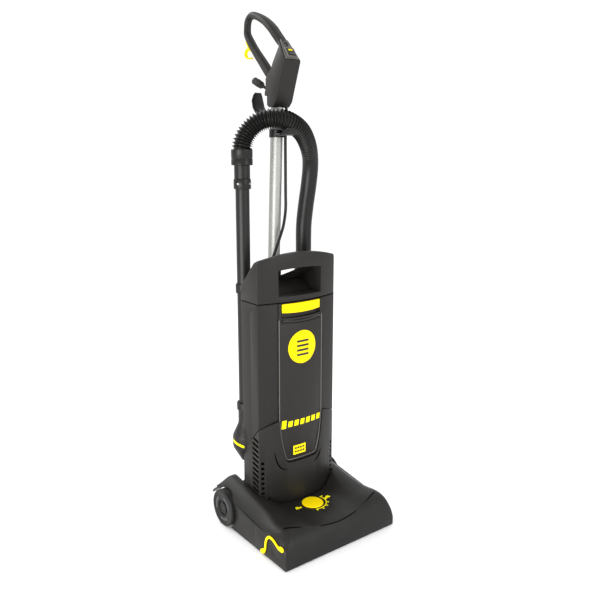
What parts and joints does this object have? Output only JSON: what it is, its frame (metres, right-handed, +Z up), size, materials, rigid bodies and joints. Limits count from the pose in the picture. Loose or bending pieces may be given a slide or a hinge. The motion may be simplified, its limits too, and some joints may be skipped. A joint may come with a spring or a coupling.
{
  "type": "upright vacuum cleaner",
  "caption": "Upright vacuum cleaner: wide wheeled brush nozzle, tilting body with bag door and carrying handle, loop grip on a tube, suction wand and ribbed hose.",
  "frame": {"origin": "middle of the footprint on the floor, without the hose and lead", "axes": "+Z up, -Y towards the front bumper, +X towards the hose port side"},
  "size_m": [0.342, 0.3819, 1.2198],
  "materials": {
    "shell": "fine moulded texture",
    "nozzle": "fine moulded texture",
    "panel": "satin",
    "yellow": "semi-gloss",
    "black": "satin",
    "rubber": "matt",
    "aluminium": "satin anodised",
    "steel": "brushed",
    "paper": "matt",
    "bristle": "nylon bristle"
  },
  "bodies": {
    "base": {"base_frame": "nozzle", "top_cover": "nozzle", "front_bumper": "rubber", "end_plate_left": "nozzle", "end_plate_right": "nozzle", "sole_plate": "steel", "suction_duct": "black", "brush_bearing_right": "black", "drive_belt": "rubber", "wheel_axle_left": "steel", "wheel_axle_right": "steel"},
    "brush": {"brush_roller": "bristle", "brush_pulley": "black"},
    "brush_release": {"brush_bearing_left": "black", "brush_lever": "yellow"},
    "dial": {"height_dial": "yellow"},
    "carriage": {"roller_carriage": "black"},
    "roller_left": {"front_roller_left": "black"},
    "roller_right": {"front_roller_right": "black"},
    "wheel_left": {"rear_wheel_left": "rubber"},
    "wheel_right": {"rear_wheel_right": "rubber"},
    "pedal": {"foot_pedal": "black"},
    "upright": {"motor": "aluminium", "fan_housing": "black", "motor_housing": "shell", "lower_cover": "shell", "exhaust_filter": "paper", "main_housing": "shell", "top_cap": "shell", "front_shell": "shell", "filter_bag": "paper", "bag_collar": "black", "suction_socket": "black", "wand_clip": "black", "hose_port": "black", "hose_hook": "black", "hose": "black", "handle_tube": "aluminium", "tube_socket": "black", "handle_left": "shell", "handle_right": "shell", "handle_panel": "black", "cord_inlet": "black", "cord_clip": "yellow", "cord_hook_lower": "black", "lead": "black", "lead_grommet": "black"},
    "rotor": {"motor_shaft": "steel", "fan_impeller": "black"},
    "door": {"bag_door": "panel", "emblem_disc": "yellow"},
    "latch": {"door_latch": "yellow"},
    "rocker": {"power_rocker": "black", "rocker_lens": "yellow"},
    "reset": {"reset_button": "black"},
    "cord_hook": {"cord_hook_upper": "black"},
    "wand": {"wand_tube": "black", "wand_collar": "black", "wand_connector": "black", "hose_cuff": "black"}
  },
  "joints": [
    {"name": "recline", "type": "hinge", "parent": "base", "child": "upright", "pos_m": [0, 0.024, 0.07], "axis": [-1, 0, 0], "range_deg": [0, 75]},
    {"name": "wheel_left_spin", "type": "hinge", "parent": "base", "child": "wheel_left", "pos_m": [0, 0.061, 0.045], "axis": [1, 0, 0], "continuous": true},
    {"name": "wheel_right_spin", "type": "hinge", "parent": "base", "child": "wheel_right", "pos_m": [0, 0.061, 0.045], "axis": [1, 0, 0], "continuous": true},
    {"name": "carriage_lift", "type": "slide", "parent": "base", "child": "carriage", "axis": [0, 0, 1], "range_m": [0, 0.006]},
    {"name": "roller_left_spin", "type": "hinge", "parent": "carriage", "child": "roller_left", "pos_m": [-0.062, -0.087, 0.012], "axis": [1, 0, 0], "continuous": true},
    {"name": "roller_right_spin", "type": "hinge", "parent": "carriage", "child": "roller_right", "pos_m": [0.062, -0.087, 0.012], "axis": [1, 0, 0], "continuous": true},
    {"name": "dial_turn", "type": "hinge", "parent": "base", "child": "dial", "pos_m": [0, -0.079, 0.06], "axis": [0, 0, 1], "range_deg": [0, 240]},
    {"name": "brush_spin", "type": "hinge", "parent": "base", "child": "brush", "pos_m": [0, -0.149, 0.027], "axis": [1, 0, 0], "continuous": true},
    {"name": "brush_release_turn", "type": "hinge", "parent": "base", "child": "brush_release", "pos_m": [-0.155, -0.149, 0.027], "axis": [1, 0, 0], "range_deg": [0, 15]},
    {"name": "pedal_press", "type": "hinge", "parent": "base", "child": "pedal", "pos_m": [-0.1315, 0.063, 0.078], "axis": [-1, 0, 0], "range_deg": [0, 8], "stiffness_Nm_per_rad": 2, "springref_deg": -8.59},
    {"name": "motor_spin", "type": "hinge", "parent": "upright", "child": "rotor", "pos_m": [0, 0.024, 0.07], "axis": [1, 0, 0], "continuous": true},
    {"name": "door_open", "type": "hinge", "parent": "upright", "child": "door", "pos_m": [0, -0.035, 0.1684], "axis": [1, 0, 0], "range_deg": [0, 45]},
    {"name": "latch_pull", "type": "hinge", "parent": "door", "child": "latch", "pos_m": [0, -0.035, 0.5555], "axis": [-1, 0, 0], "range_deg": [0, 20], "stiffness_Nm_per_rad": 0.4, "springref_deg": -8.59},
    {"name": "rocker_tip", "type": "hinge", "parent": "upright", "child": "rocker", "pos_m": [0, 0.00727, 1.1136], "axis": [1, 0, 0], "range_deg": [0, 12]},
    {"name": "reset_push", "type": "slide", "parent": "upright", "child": "reset", "axis": [0, 0.7976, -0.6032], "range_m": [0, 0.002], "stiffness_N_per_m": 200, "springref_m": -0.001},
    {"name": "cord_hook_turn", "type": "hinge", "parent": "upright", "child": "cord_hook", "pos_m": [0, 0.06105, 0.981], "axis": [0, -0.0469, 0.9989], "range_deg": [-45, 45]},
    {"name": "wand_lift", "type": "slide", "parent": "upright", "child": "wand", "axis": [0, 0, 1], "range_m": [0, 0.05], "deforming": ["hose"]}
  ],
  "couplings": [
    {"joint": "motor_spin", "follows": "brush_spin", "ratio": 1.3333},
    {"joint": "carriage_lift", "follows": "dial_turn", "m_per_rad": 0.00143}
  ]
}
